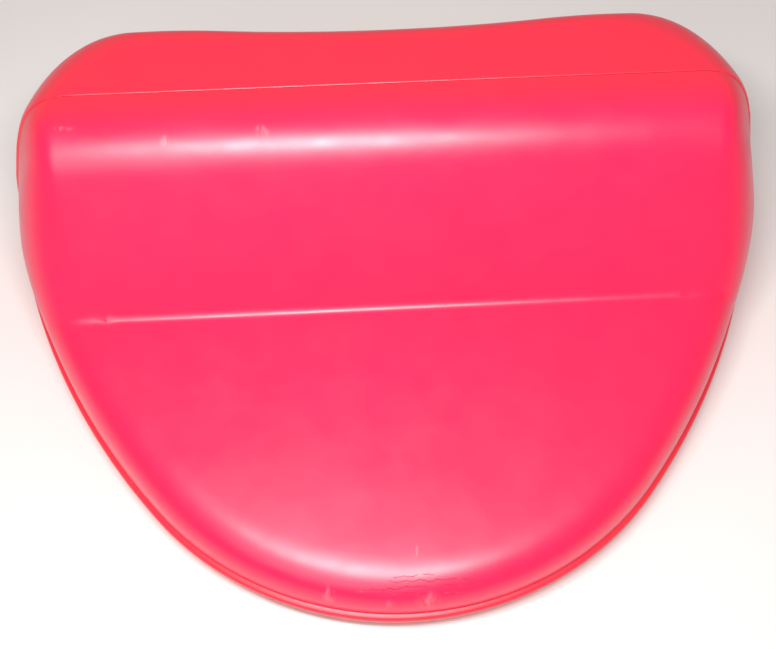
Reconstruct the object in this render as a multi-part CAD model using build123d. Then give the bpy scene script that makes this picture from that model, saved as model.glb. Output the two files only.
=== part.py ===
from build123d import *
import os
from math import atan2, cos, degrees, radians, sin, tan

# Kick shield: a D-shaped moulded pad with a raised ridge across its wide end.
# Millimetres. +X right, +Y towards the wide far end, +Z up out of the strike face.
# The back rim lies on Z = 0. The origin is the centre of the bounding box's bottom.

# Plan outline, drawn at the parting height with the front tip at distance 0
DEPTH = 247.0
TIP_RADIUS = 138.0
TIP_TURN = 50.0
FLANK_RADIUS = 335.0
FLANK_TURN = 77.0
TOP_FLANK_TURN = 70.0
SCOOP_DEPTH = 5.0
SCOOP_CONVEX_SHARE = 0.35

# Heights and side profile
TOP_Z = 117.0
PARTING_Z = 18.0
LOFT_TOP = 137.0
WALL_DRAFT = 13.0
FAR_DRAFT = 4.0
BASE_INSET = 4.0
PAD_FRONT = (33.0, 39.0)
PAD_SLOPE = 8.0
CREASE_AT = 126.0
BANK_SLOPE = 53.0
CREASE_RADIUS = 10.0
RIDGE_RADIUS = 35.0
RIM_RADIUS = 18.0
UPWARD = 0.45

# Line where the two mould halves climb the far corners and cross the plateau
CLIMB_FOOT = 208.0
CLIMB_TOP = 197.0
CLIMB_RADIUS = 16.0

# Skin and foam layers
SKIN = 3.0
IMPACT_LAYER = 13.0

# Forearm recess in the back: a shallow step with a deep channel in its middle
STEP_Z = 16.0
STEP_X = 120.0
STEP_NEAR = 106.0
STEP_FAR = 234.0
STEP_CORNER = 16.0
CHANNEL_Z = 56.0
MOUTH_X = 112.0
MOUTH_NEAR = 134.0
MOUTH_FAR = 212.0
ROOF_X = 104.0
ROOF_NEAR = 150.0
ROOF_FAR = 210.0
CHANNEL_CORNER = 10.0

# Anchor rails, one each side of the channel
RAIL_LENGTH = 216.0
RAIL_THICKNESS = 12.0
RAIL_CORNER = 3.0
NEAR_RAIL = (109.0, 131.0)
FAR_RAIL = (215.0, 233.0)
NEAR_BAR = 124.0
FAR_BAR = 223.0

# Footman loops: flat steel bars that stand off the ledge on two feet
BAR_WIDTH = 10.0
BAR_THICKNESS = 2.0
BAR_Z = 6.0
FOOT_LENGTH = 14.0
STRAP_SLOT = 53.0
GRIP_SLOT = 28.0

# Screws and tee nuts
SCREW_RADIUS = 2.5
SCREW_CLEARANCE = 0.2
THREAD_GAP = 0.05
HEAD_RADIUS = 5.0
HEAD_HEIGHT = 2.4
DRIVE_RADIUS = 1.7
DRIVE_DEPTH = 1.4
NUT_FLANGE_RADIUS = 8.5
NUT_FLANGE = 1.5
NUT_BARREL_RADIUS = 3.4
NUT_BARREL = 9.0

# Forearm strap
STRAP_X = -56.0
STRAP_WIDTH = 50.0
WEBBING = 2.0
STRAP_Z = 9.0
TAIL_Z = 3.8
TAIL_END = 182.0
TAPE = 1.5
TAPE_WIDTH = 48.0
FOLD_GAP = 0.3
STRAP_UNDER = 20.0
GRIP_UNDER = 10.0
LOOP_TAPE = (134.0, 200.0)
HOOK_TAPE = (134.0, 170.0)
PEEL_LIMIT = 90.0

# Hand grip
GRIP_X = 66.0
GRIP_Z = 15.0
GRIP_WEB_WIDTH = 25.0
SLEEVE_RADIUS = 12.0
SLEEVE_BORE = 7.2
SLEEVE_LENGTH = 68.0
GRIP_MIDDLE = 175.0
CORE_RADIUS = 7.0
CORE_OVERHANG = 2.0
TAB_OVERLAP = 1.0
SLEEVE_EDGE = 2.0

# Pads glued to the channel roof
FOREARM_PAD = (-96.0, 32.0)
KNUCKLE_PAD = (44.0, 92.0)
PAD_NEAR = 156.0
PAD_FAR = 206.0
PAD_THICKNESS = 6.0
PAD_CORNER = 6.0

# Reach of construction solids and overlap of cutting tools
FAR_OUT = 400.0
CUT_PAST = 1.0
HALF_DEPTH = DEPTH / 2


def y_of(distance):
    """Row Y of a point that lies this far behind the front tip."""
    return distance - HALF_DEPTH


def on_arc(centre, radius, heading):
    """Point on a circle where a counter-clockwise path has this heading in degrees."""
    return (centre[0] + radius * sin(radians(heading)), centre[1] - radius * cos(radians(heading)))


def arc(centre, radius, start, end):
    """Arc between two headings."""
    return ThreePointArc(*[on_arc(centre, radius, h) for h in (start, (start + end) / 2, end)])


def outline(inset, shift, z, flank_turn=FLANK_TURN):
    """Plan outline as a face: the D shape, moved in by inset and along Y by shift.

    A smaller flank turn gives rounder far corners.
    """
    tip = (0.0, TIP_RADIUS)
    joint = on_arc(tip, TIP_RADIUS, TIP_TURN)
    flank = (
        joint[0] - FLANK_RADIUS * sin(radians(TIP_TURN)),
        joint[1] + FLANK_RADIUS * cos(radians(TIP_TURN)),
    )
    turn = on_arc(flank, FLANK_RADIUS, flank_turn)
    corner_radius = (DEPTH - turn[1]) / (1 + cos(radians(flank_turn)))
    corner = (
        turn[0] - corner_radius * sin(radians(flank_turn)),
        turn[1] + corner_radius * cos(radians(flank_turn)),
    )
    scoop_turn = degrees(2 * atan2(SCOOP_DEPTH, corner[0]))
    scoop_radii = corner[0] / sin(radians(scoop_turn))
    convex = scoop_radii * SCOOP_CONVEX_SHARE
    concave = scoop_radii - convex
    scoop = (0.0, DEPTH - SCOOP_DEPTH + concave)
    right = [
        arc(tip, TIP_RADIUS - inset, 0, TIP_TURN),
        arc(flank, FLANK_RADIUS - inset, TIP_TURN, flank_turn),
        arc(corner, corner_radius - inset, flank_turn, 180),
        arc((corner[0], DEPTH - convex), convex - inset, 180, 180 + scoop_turn),
        arc(scoop, -concave - inset, 180 + scoop_turn, 180),
    ]
    left = [mirror(edge, about=Plane.YZ) for edge in right]
    return Pos(0, y_of(shift), z) * make_face(right + left)


def profile_below(inset):
    """Everything under the strike side's profile: pad, crease, bank, ridge and plateau."""
    pad = radians(PAD_SLOPE)
    bank = radians(BANK_SLOPE)
    pad_z = PAD_FRONT[1] - inset / cos(pad)
    crease_z = PAD_FRONT[1] + (CREASE_AT - PAD_FRONT[0]) * tan(pad)
    bank_at = CREASE_AT + inset / sin(bank)
    # Where the inset pad line meets the inset bank line
    run = bank_at + (pad_z - PAD_FRONT[0] * tan(pad) - crease_z) / tan(bank)
    crease = run / (1 - tan(pad) / tan(bank))
    crease_point = (y_of(crease), pad_z + (crease - PAD_FRONT[0]) * tan(pad))
    top = TOP_Z - inset
    ridge_point = (y_of(bank_at + (top - crease_z) / tan(bank)), top)
    front = -FAR_OUT
    outer = [
        (front, -FAR_OUT),
        (front, pad_z + (front + HALF_DEPTH - PAD_FRONT[0]) * tan(pad)),
        crease_point,
        ridge_point,
        (FAR_OUT, top),
        (FAR_OUT, -FAR_OUT),
    ]
    section = make_face(Polyline(*outer, close=True))
    for point, radius in ((crease_point, CREASE_RADIUS + inset), (ridge_point, RIDGE_RADIUS - inset)):
        corner = section.vertices().sort_by_distance(Vector(point[0], point[1], 0))[0]
        section = fillet(corner, radius)
    return extrude(Plane.YZ * section, amount=FAR_OUT, both=True)


def rim_edges(solid):
    """Edges between the strike side's faces and the walls."""
    upward = [f for f in solid.faces() if f.normal_at(f.center()).Z > UPWARD]
    found = []
    for edge in [e for f in upward for e in f.edges()]:
        for entry in found:
            if entry[0].is_same(edge):
                entry[1] += 1
                break
        else:
            found.append([edge, 1])
    return [edge for edge, uses in found if uses == 1]


def pad_body(inset):
    """The whole moulded shape with no recess, every surface moved in by inset."""
    rise = LOFT_TOP - PARTING_Z
    side = rise * tan(radians(WALL_DRAFT))
    far = rise * tan(radians(FAR_DRAFT))
    low = outline(inset + BASE_INSET, 0, inset)
    middle = outline(inset, 0, PARTING_Z)
    high = outline(inset + side, side - far, LOFT_TOP, TOP_FLANK_TURN)
    solid = loft([low, middle, high], ruled=True) & profile_below(inset)
    return fillet(rim_edges(solid), RIM_RADIUS - inset)


def rounded_block(x_low, x_high, near, far, z_low, z_high, corner):
    """Upright block with rounded corners, placed by its distances from the front tip."""
    centre = Pos((x_low + x_high) / 2, y_of((near + far) / 2), z_low)
    return extrude(centre * RectangleRounded(x_high - x_low, far - near, corner), z_high - z_low)


def recess(grow):
    """The space of the forearm recess, with every wall moved out by grow."""
    step = rounded_block(
        -STEP_X - grow, STEP_X + grow, STEP_NEAR - grow, STEP_FAR + grow, -CUT_PAST, STEP_Z + grow, STEP_CORNER
    )
    mouth_y = y_of((MOUTH_NEAR + MOUTH_FAR) / 2)
    roof_y = y_of((ROOF_NEAR + ROOF_FAR) / 2)
    mouth_size = (2 * (MOUTH_X + grow), MOUTH_FAR - MOUTH_NEAR + 2 * grow)
    roof_size = (2 * (ROOF_X + grow), ROOF_FAR - ROOF_NEAR + 2 * grow)
    mouth = Pos(0, mouth_y, STEP_Z) * RectangleRounded(*mouth_size, CHANNEL_CORNER)
    roof = Pos(0, roof_y, CHANNEL_Z + grow) * RectangleRounded(*roof_size, CHANNEL_CORNER)
    return step + loft([mouth, roof], ruled=True)


def front_half():
    """Space of the front mould half: over the parting height and in front of the climb."""
    slope = (CLIMB_FOOT - CLIMB_TOP) / (TOP_Z - PARTING_Z)
    top = FAR_OUT
    foot = (y_of(CLIMB_FOOT), PARTING_Z)
    points = [
        (-FAR_OUT, PARTING_Z),
        foot,
        (y_of(CLIMB_FOOT - slope * (top - PARTING_Z)), top),
        (-FAR_OUT, top),
    ]
    section = make_face(Polyline(*points, close=True))
    corner = section.vertices().sort_by_distance(Vector(foot[0], foot[1], 0))[0]
    section = fillet(corner, CLIMB_RADIUS)
    return extrude(Plane.YZ * section, amount=FAR_OUT, both=True)


def screw_places(x, slot):
    """Centres of the four screws of a near and far pair of footman loops."""
    reach = slot / 2 + (FOOT_LENGTH + BAR_THICKNESS) / 2
    return [(x + side * reach, y_of(bar)) for bar in (NEAR_BAR, FAR_BAR) for side in (-1, 1)]


def rod(x, y, radius, z_low, z_high):
    """Upright cylinder."""
    return Pos(x, y, z_low) * extrude(Circle(radius), z_high - z_low)


def footman_loop(x, slot, bar_at):
    """Steel loop: a bar that stands off the ledge on two cranked feet with a screw hole each."""
    half = slot / 2
    foot_end = half + FOOT_LENGTH
    foot_low = STEP_Z - BAR_THICKNESS
    shape = [
        (-foot_end, STEP_Z),
        (-foot_end, foot_low),
        (-half - BAR_THICKNESS, foot_low),
        (-half - BAR_THICKNESS, BAR_Z),
        (half + BAR_THICKNESS, BAR_Z),
        (half + BAR_THICKNESS, foot_low),
        (foot_end, foot_low),
        (foot_end, STEP_Z),
        (half, STEP_Z),
        (half, BAR_Z + BAR_THICKNESS),
        (-half, BAR_Z + BAR_THICKNESS),
        (-half, STEP_Z),
    ]
    section = make_face(Polyline(*shape, close=True))
    band = extrude(Plane.XZ * section, amount=BAR_WIDTH / 2, both=True)
    loop = Pos(x, y_of(bar_at), 0) * band
    for side in (-1, 1):
        place = x + side * (half + (FOOT_LENGTH + BAR_THICKNESS) / 2)
        loop -= rod(place, y_of(bar_at), SCREW_RADIUS + SCREW_CLEARANCE, foot_low, STEP_Z)
    return loop


def loop_screws(x, slot):
    """Four pan-head screws through a pair of footman loops into their tee nuts."""
    head_top = STEP_Z - BAR_THICKNESS
    tip = STEP_Z + SKIN + RAIL_THICKNESS + NUT_FLANGE
    screws = []
    for place_x, place_y in screw_places(x, slot):
        shank = rod(place_x, place_y, SCREW_RADIUS, head_top, tip)
        head = rod(place_x, place_y, HEAD_RADIUS, head_top - HEAD_HEIGHT, head_top)
        socket = Pos(place_x, place_y, head_top - HEAD_HEIGHT) * extrude(
            RegularPolygon(DRIVE_RADIUS, 6), DRIVE_DEPTH
        )
        screws.append((shank + head) - socket)
    return screws


def tee_nuts(x, slot):
    """Four tee nuts: a flange on top of the rail and a barrel down inside it."""
    rail_top = STEP_Z + SKIN + RAIL_THICKNESS
    nuts = []
    for place_x, place_y in screw_places(x, slot):
        flange = rod(place_x, place_y, NUT_FLANGE_RADIUS, rail_top, rail_top + NUT_FLANGE)
        barrel = rod(place_x, place_y, NUT_BARREL_RADIUS, rail_top - NUT_BARREL, rail_top)
        bore = rod(place_x, place_y, SCREW_RADIUS + THREAD_GAP, rail_top - NUT_BARREL, rail_top + NUT_FLANGE)
        nuts.append((flange + barrel) - bore)
    return nuts


def anchor_rail(edges):
    """Plywood rail moulded into the foam beside the channel, bored for the tee nuts."""
    low = STEP_Z + SKIN
    half = RAIL_LENGTH / 2
    rail = rounded_block(-half, half, edges[0], edges[1], low, low + RAIL_THICKNESS, RAIL_CORNER)
    for x, slot in ((STRAP_X, STRAP_SLOT), (GRIP_X, GRIP_SLOT)):
        for place_x, place_y in screw_places(x, slot):
            if y_of(edges[0]) < place_y < y_of(edges[1]):
                split = low + RAIL_THICKNESS - NUT_BARREL
                rail -= rod(place_x, place_y, NUT_BARREL_RADIUS, split, low + RAIL_THICKNESS)
                rail -= rod(place_x, place_y, SCREW_RADIUS + SCREW_CLEARANCE, low, split)
    return rail


def strap_box(near, far, z_low, z_high, width):
    """Flat run of webbing or tape along Y at the strap's place."""
    middle = Pos(STRAP_X, y_of((near + far) / 2), (z_low + z_high) / 2)
    return middle * Box(width, far - near, z_high - z_low)


def wrap(x, width, bar_edge, side, start, end, inner):
    """Webbing bent round one edge of a bar, between two angles from the vertical."""
    radius = inner + WEBBING
    centre_z = STRAP_Z - inner
    ring = Circle(radius) - Circle(inner)
    middle = radians((start + end) / 2)
    span = radians((end - start) / 2)
    reach = 3 * radius
    wedge = make_face(
        Polyline(
            (0, 0),
            (side * reach * sin(middle - span), reach * cos(middle - span)),
            (side * reach * sin(middle), reach * cos(middle)),
            (side * reach * sin(middle + span), reach * cos(middle + span)),
            close=True,
        )
    )
    band = extrude(Plane.YZ * (ring & wedge), amount=width / 2, both=True)
    return Pos(x, y_of(bar_edge), centre_z) * band


def strap_web():
    """Forearm strap: sewn eye on the far bar, straight run, and the start of the near fold."""
    near_edge = NEAR_BAR - BAR_WIDTH / 2 - FOLD_GAP
    far_edge = FAR_BAR + BAR_WIDTH / 2 + FOLD_GAP
    eye_inner = (STRAP_Z - TAIL_Z - WEBBING) / 2
    run = strap_box(near_edge, far_edge, STRAP_Z, STRAP_Z + WEBBING, STRAP_WIDTH)
    near_fold = wrap(STRAP_X, STRAP_WIDTH, near_edge, -1, 0, 180 - PEEL_LIMIT, eye_inner)
    far_fold = wrap(STRAP_X, STRAP_WIDTH, far_edge, 1, 0, 180, eye_inner)
    under = strap_box(far_edge - STRAP_UNDER, far_edge, TAIL_Z, TAIL_Z + WEBBING, STRAP_WIDTH)
    return run + near_fold + far_fold + under


def strap_tail():
    """Free end of the strap, folded back under the near bar."""
    start = NEAR_BAR - BAR_WIDTH / 2 - FOLD_GAP
    return strap_box(start, TAIL_END, TAIL_Z, TAIL_Z + WEBBING, STRAP_WIDTH)


def grip_web():
    """Grip webbing: flat sewn tabs on both bars and a rolled core inside the sleeve."""
    core_half = SLEEVE_LENGTH / 2 + CORE_OVERHANG
    web = Pos(GRIP_X, y_of(GRIP_MIDDLE), GRIP_Z) * (Rot(90, 0, 0) * Cylinder(CORE_RADIUS, 2 * core_half))
    inner = (STRAP_Z - TAIL_Z - WEBBING) / 2
    for bar, side in ((NEAR_BAR, -1), (FAR_BAR, 1)):
        edge = bar + side * (BAR_WIDTH / 2 + FOLD_GAP)
        end = GRIP_MIDDLE + side * (core_half - TAB_OVERLAP)
        low = min(edge, end)
        high = max(edge, end)
        tab = Pos(GRIP_X, y_of((low + high) / 2), STRAP_Z + WEBBING / 2) * Box(
            GRIP_WEB_WIDTH, high - low, WEBBING
        )
        web += tab + wrap(GRIP_X, GRIP_WEB_WIDTH, edge, side, 0, 180, inner)
        under = Pos(GRIP_X, y_of(edge - side * GRIP_UNDER / 2), TAIL_Z + WEBBING / 2)
        web += under * Box(GRIP_WEB_WIDTH, GRIP_UNDER, WEBBING)
    return web


def grip_sleeve():
    """Rubber tube that turns freely on the rolled webbing."""
    tube = Cylinder(SLEEVE_RADIUS, SLEEVE_LENGTH)
    tube = fillet(tube.edges().filter_by(GeomType.CIRCLE), SLEEVE_EDGE)
    tube -= Cylinder(SLEEVE_BORE, SLEEVE_LENGTH)
    return Pos(GRIP_X, y_of(GRIP_MIDDLE), GRIP_Z) * (Rot(90, 0, 0) * tube)


def roof_pad(span):
    """Closed-cell pad glued to the channel roof."""
    return rounded_block(
        span[0], span[1], PAD_NEAR, PAD_FAR, CHANNEL_Z - PAD_THICKNESS, CHANNEL_Z, PAD_CORNER
    )


def skins_and_foams():
    """The moulded shell in its two halves and the two foams that fill it."""
    whole = pad_body(0.0)
    filling = pad_body(SKIN)
    inside = filling - recess(SKIN)
    front_skin = (whole - filling) & front_half()
    shell = whole - recess(0.0) - inside - front_half()
    lining = (recess(SKIN) - recess(0.0)) & whole
    shell += lining
    for x, slot in ((STRAP_X, STRAP_SLOT), (GRIP_X, GRIP_SLOT)):
        for place_x, place_y in screw_places(x, slot):
            shell -= rod(place_x, place_y, SCREW_RADIUS + SCREW_CLEARANCE, STEP_Z, STEP_Z + SKIN)
    deep = profile_below(SKIN + IMPACT_LAYER)
    core = inside & deep
    low = STEP_Z + SKIN
    for edges in (NEAR_RAIL, FAR_RAIL):
        half = RAIL_LENGTH / 2
        core -= rounded_block(-half, half, edges[0], edges[1], low, low + RAIL_THICKNESS, RAIL_CORNER)
    rail_top = low + RAIL_THICKNESS
    for x, slot in ((STRAP_X, STRAP_SLOT), (GRIP_X, GRIP_SLOT)):
        for place_x, place_y in screw_places(x, slot):
            core -= rod(place_x, place_y, NUT_FLANGE_RADIUS, rail_top, rail_top + NUT_FLANGE)
    return {
        "front_skin": front_skin,
        "rear_skin": shell,
        "impact_foam": inside - deep,
        "core_foam": core,
    }


def build():
    """Every node of the shield by name."""
    parts = skins_and_foams()
    parts["anchor_rail_near"] = anchor_rail(NEAR_RAIL)
    parts["anchor_rail_far"] = anchor_rail(FAR_RAIL)
    for name, x, slot in (("strap", STRAP_X, STRAP_SLOT), ("grip", GRIP_X, GRIP_SLOT)):
        parts[name + "_tee_nuts"] = Compound(children=tee_nuts(x, slot))
        parts[name + "_loop_near"] = footman_loop(x, slot, NEAR_BAR)
        parts[name + "_loop_far"] = footman_loop(x, slot, FAR_BAR)
        parts[name + "_loop_screws"] = Compound(children=loop_screws(x, slot))
    parts["forearm_pad"] = roof_pad(FOREARM_PAD)
    parts["knuckle_pad"] = roof_pad(KNUCKLE_PAD)
    parts["strap_web"] = strap_web()
    parts["loop_tape"] = strap_box(LOOP_TAPE[0], LOOP_TAPE[1], STRAP_Z - TAPE, STRAP_Z, TAPE_WIDTH)
    parts["strap_tail"] = strap_tail()
    tail_top = TAIL_Z + WEBBING
    parts["hook_tape"] = strap_box(HOOK_TAPE[0], HOOK_TAPE[1], tail_top, tail_top + TAPE, TAPE_WIDTH)
    parts["grip_web"] = grip_web()
    parts["grip_sleeve"] = grip_sleeve()
    return parts


os.makedirs("parts", exist_ok=True)
for node, shape in build().items():
    export_step(shape, f"parts/{node}.step")
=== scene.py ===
import math

import bmesh
import bpy
from mathutils import Matrix, Vector
from mathutils.geometry import delaunay_2d_cdt

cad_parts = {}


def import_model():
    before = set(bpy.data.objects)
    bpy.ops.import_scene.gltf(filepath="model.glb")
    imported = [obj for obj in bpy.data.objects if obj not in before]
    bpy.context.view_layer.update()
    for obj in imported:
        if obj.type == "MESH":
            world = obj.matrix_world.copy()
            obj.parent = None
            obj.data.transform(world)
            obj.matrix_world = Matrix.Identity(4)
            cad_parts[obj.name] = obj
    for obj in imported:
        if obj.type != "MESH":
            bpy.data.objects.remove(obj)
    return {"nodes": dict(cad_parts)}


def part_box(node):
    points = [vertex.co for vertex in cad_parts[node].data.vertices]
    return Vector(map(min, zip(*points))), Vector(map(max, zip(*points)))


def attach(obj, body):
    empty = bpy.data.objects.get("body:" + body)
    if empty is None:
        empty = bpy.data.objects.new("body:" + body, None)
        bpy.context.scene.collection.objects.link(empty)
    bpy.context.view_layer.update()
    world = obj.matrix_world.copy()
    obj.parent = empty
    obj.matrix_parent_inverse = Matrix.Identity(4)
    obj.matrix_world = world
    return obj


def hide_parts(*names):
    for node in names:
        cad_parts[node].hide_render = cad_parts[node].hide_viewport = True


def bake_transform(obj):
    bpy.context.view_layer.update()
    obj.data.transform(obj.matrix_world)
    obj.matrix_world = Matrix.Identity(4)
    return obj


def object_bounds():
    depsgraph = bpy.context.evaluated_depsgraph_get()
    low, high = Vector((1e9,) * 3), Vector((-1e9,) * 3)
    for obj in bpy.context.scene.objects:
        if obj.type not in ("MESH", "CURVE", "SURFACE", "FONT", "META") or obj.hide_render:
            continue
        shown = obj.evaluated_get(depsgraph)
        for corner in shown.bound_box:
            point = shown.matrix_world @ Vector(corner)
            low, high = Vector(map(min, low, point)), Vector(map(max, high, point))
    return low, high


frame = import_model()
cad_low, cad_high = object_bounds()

# Kick shield. Shapes are worked out in millimetres, then scaled to the frame's metres.
# "Distance" is measured back from the front tip. Row Y is distance minus half the depth.
MM = 0.001
DEPTH = (cad_high.y - cad_low.y) / MM
HALF_DEPTH = DEPTH / 2
TOP_Z = (cad_high.z - cad_low.z) / MM

# Plan outline at the parting line: radius of the curve between headings in degrees
BREAKS = (0.0, 50.0, 66.0, 77.0, 180.0)
STEPS = (54, 42, 34, 50)
TIP_RADIUS = 138.0
FLANK_RADIUS = 335.0
SCOOP = 5.0
SCOOP_CONVEX_SHARE = 0.35
SCOOP_STEPS = (16, 26)
# The edge's shape goes on changing for this many more degrees, along the far side's first stretch
FAR_TURN = 20.0

# Where the rounded edge runs out into the strike side's profile
EDGE_FRONT = 25.0
EDGE_RADII = (113.0, 255.0, 205.0, 50.0)
EDGE_HALF_WIDTH = 137.0
FRONT_POWER = 3.5

# Side profile
PAD_START = (33.0, 39.0)
PAD_SLOPE = 8.0
CREASE_AT = 127.0
BANK_SLOPE = 53.7
CREASE_RADIUS = 5.0
RIDGE_RADIUS = 35.0

# Two mould halves. The front one stands in a little from the rear one's rim
SPLIT_Z = 17.6
RIM_STEP = 2.2
CLIMB_FOOT = 208.0
CLIMB_TOP = 197.0
CLIMB_ROUND = 16.0
SKIN = 3.0

# Back recess
STEP_Z = 16.0
ROOF_Z = 56.0


def smooth(x, low, high):
    """0 below low, 1 above high, and an S curve between."""
    t = min(1.0, max(0.0, (x - low) / (high - low)))
    return t * t * (3 - 2 * t)


def row_y(distance):
    return distance - HALF_DEPTH


def new_mesh(name, points, faces):
    """Mesh object from points in millimetres."""
    mesh = bpy.data.meshes.new(name)
    mesh.from_pydata([(x * MM, y * MM, z * MM) for x, y, z in points], [], faces)
    mesh.update()
    mesh.shade_smooth()
    item = bpy.data.objects.new(name, mesh)
    bpy.context.scene.collection.objects.link(item)
    return item


# ---------------------------------------------------------------- outline and profile


def plan_curve(radii, tip):
    """Right half of a plan outline as points (x, distance), from the tip to the far middle.

    Arcs with the given radii between the headings in BREAKS, then a shallow S along the far side.
    """
    x, y = 0.0, tip
    points = [(x, y)]
    spans = list(zip(BREAKS, BREAKS[1:], radii, STEPS))
    for start, end, radius, steps in spans:
        for i in range(steps):
            a = math.radians(start + (end - start) * i / steps)
            b = math.radians(start + (end - start) * (i + 1) / steps)
            x += radius * (math.sin(b) - math.sin(a))
            y += radius * (math.cos(a) - math.cos(b))
            points.append((x, y))
    turn = 2 * math.atan2(SCOOP, x)
    both = x / math.sin(turn)
    convex = both * SCOOP_CONVEX_SHARE
    legs = ((math.pi, math.pi + turn, convex, SCOOP_STEPS[0]),)
    legs += ((math.pi + turn, math.pi, convex - both, SCOOP_STEPS[1]),)
    for start, end, radius, steps in legs:
        for i in range(steps):
            a = start + (end - start) * i / steps
            b = start + (end - start) * (i + 1) / steps
            x += radius * (math.sin(b) - math.sin(a))
            y += radius * (math.cos(a) - math.cos(b))
            points.append((x, y))
    return points


def headings():
    """Heading of the outline at each point of plan_curve, run on past 180 along the far side."""
    found = [0.0]
    for start, end, steps in zip(BREAKS, BREAKS[1:], STEPS):
        found += [start + (end - start) * (i + 1) / steps for i in range(steps)]
    found += [180 + FAR_TURN * (i + 1) / SCOOP_STEPS[0] for i in range(SCOOP_STEPS[0])]
    return found + [180 + FAR_TURN] * SCOOP_STEPS[1]


def outer_curve(inset):
    """Outline of the rear half's rim, moved in by inset."""
    cos_of = [math.cos(math.radians(b)) for b in BREAKS]
    corner = DEPTH - TIP_RADIUS * (1 - cos_of[1]) - FLANK_RADIUS * (cos_of[1] - cos_of[3])
    corner /= cos_of[3] + 1
    radii = (TIP_RADIUS, FLANK_RADIUS, FLANK_RADIUS, corner)
    return plan_curve([r - inset for r in radii], inset)


def edge_curve():
    """Outline where the rounded edge ends and the strike side's profile begins."""
    return plan_curve(EDGE_RADII, EDGE_FRONT)


def profile(distance):
    """Height of the strike side: pad, rounded crease, bank, rounded ridge and plateau."""
    pad = math.radians(PAD_SLOPE)
    bank = math.radians(BANK_SLOPE)
    crease_z = PAD_START[1] + (CREASE_AT - PAD_START[0]) * math.tan(pad)
    ridge_at = CREASE_AT + (TOP_Z - crease_z) / math.tan(bank)
    reach = CREASE_RADIUS * math.tan((bank - pad) / 2)
    ridge_reach = RIDGE_RADIUS * math.tan(bank / 2)
    if distance < CREASE_AT - reach * math.cos(pad):
        return PAD_START[1] + (distance - PAD_START[0]) * math.tan(pad)
    if distance < CREASE_AT + reach * math.cos(bank):
        start = CREASE_AT - reach * math.cos(pad)
        start_z = crease_z - reach * math.sin(pad)
        across = start - CREASE_RADIUS * math.sin(pad)
        up = start_z + CREASE_RADIUS * math.cos(pad)
        return up - math.sqrt(max(0.0, CREASE_RADIUS**2 - (distance - across) ** 2))
    if distance < ridge_at - ridge_reach * math.cos(bank):
        return crease_z + (distance - CREASE_AT) * math.tan(bank)
    if distance < ridge_at + ridge_reach:
        across = ridge_at + ridge_reach - distance
        return TOP_Z - RIDGE_RADIUS + math.sqrt(max(0.0, RIDGE_RADIUS**2 - across**2))
    return TOP_Z


def spline(points, t):
    """Clamped quadratic B-spline with four control points: (share inward, share up) at t."""
    a, b, c, d = points
    middle = [(b[k] + c[k]) / 2 for k in (0, 1)]
    if t < 0.5:
        p, q, r, s = a, b, middle, t * 2
    else:
        p, q, r, s = middle, c, d, t * 2 - 1
    return [p[k] * (1 - s) ** 2 + 2 * q[k] * s * (1 - s) + r[k] * s * s for k in (0, 1)]


SIDE_EDGE = ((0, 0), (0, 0.2), (0.72, 1), (1, 1))
FAR_EDGE = ((0, 0), (0, 0.5), (0.22, 1), (1, 1))
CORNER_EDGE = ((0, 0), (0, 0.25), (0.56, 1), (1, 1))

# The edge changes from front to side over these heights, and to corner and far side over these headings
SIDE_BLEND = (46, 108)
CORNER_BLEND = (84, 112)
FAR_BLEND_START = 105


def edge_section(t, heading, inner_height):
    """Rounded edge at parameter t, as (share inward, share up).

    It is a superellipse at the front, a leaning wall at the sides, fuller at the far corners and
    steep along the far side.
    """
    angle = t * math.pi / 2
    share = 2 / FRONT_POWER
    front = (1 - math.cos(angle) ** share, math.sin(angle) ** share)
    side = spline(SIDE_EDGE, t)
    far = spline(FAR_EDGE, t)
    tall = smooth(inner_height, *SIDE_BLEND)
    rear = smooth(heading, FAR_BLEND_START, 180 + FAR_TURN)
    corner = spline(CORNER_EDGE, t)
    turning = smooth(heading, *CORNER_BLEND)
    blended = [front[k] + (side[k] - front[k]) * tall for k in (0, 1)]
    blended = [blended[k] + (corner[k] - blended[k]) * turning for k in (0, 1)]
    return [blended[k] + (far[k] - blended[k]) * rear for k in (0, 1)]


def mirrored(right):
    """Closed outline from its right half, which starts and ends on the middle line."""
    return right + [(-x, y) for x, y in right[-2:0:-1]]


def ring_faces(rings, size):
    """Quads between closed rings of points that follow each other."""
    faces = []
    for j in range(rings - 1):
        for i in range(size):
            n = (i + 1) % size
            faces.append((j * size + i, j * size + n, (j + 1) * size + n, (j + 1) * size + i))
    return faces


def closed_faces(rings, size):
    """Quads between the rings, and one face over each end."""
    first = tuple(range(size))
    last = tuple(reversed(range((rings - 1) * size, rings * size)))
    return ring_faces(rings, size) + [first, last]


# ---------------------------------------------------------------- moulded skin

EDGE_RINGS = 30
X_SPACING = 4.0

# Spacing of the inner rows: close at the crease, medium on the ridge, wide elsewhere
CREASE_ROW = 0.8
CREASE_REACH = 8
RIDGE_ROW = 1.8
RIDGE_ROWS = (140, 192)
PLAIN_ROW = 3.6
LOOP_MARGIN = 1.3
CDT_TOLERANCE = 1e-5


def row_distances(low, high):
    """Distances of the inner rows, close together at the crease and the ridge."""
    found = []
    at = low
    while at < high:
        found.append(at)
        near_crease = abs(at - CREASE_AT) < CREASE_REACH
        on_ridge = RIDGE_ROWS[0] < at < RIDGE_ROWS[1]
        at += CREASE_ROW if near_crease else RIDGE_ROW if on_ridge else PLAIN_ROW
    return found


def inside(loop, x, y, margin):
    """True if the point is inside the closed loop and further than margin from it."""
    found = False
    for (x1, y1), (x2, y2) in zip(loop, loop[1:] + loop[:1]):
        if (x - x1) ** 2 + (y - y1) ** 2 < margin * margin:
            return False
        if (y1 > y) != (y2 > y) and x < (x2 - x1) * (y - y1) / (y2 - y1) + x1:
            found = not found
    return found


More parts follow.
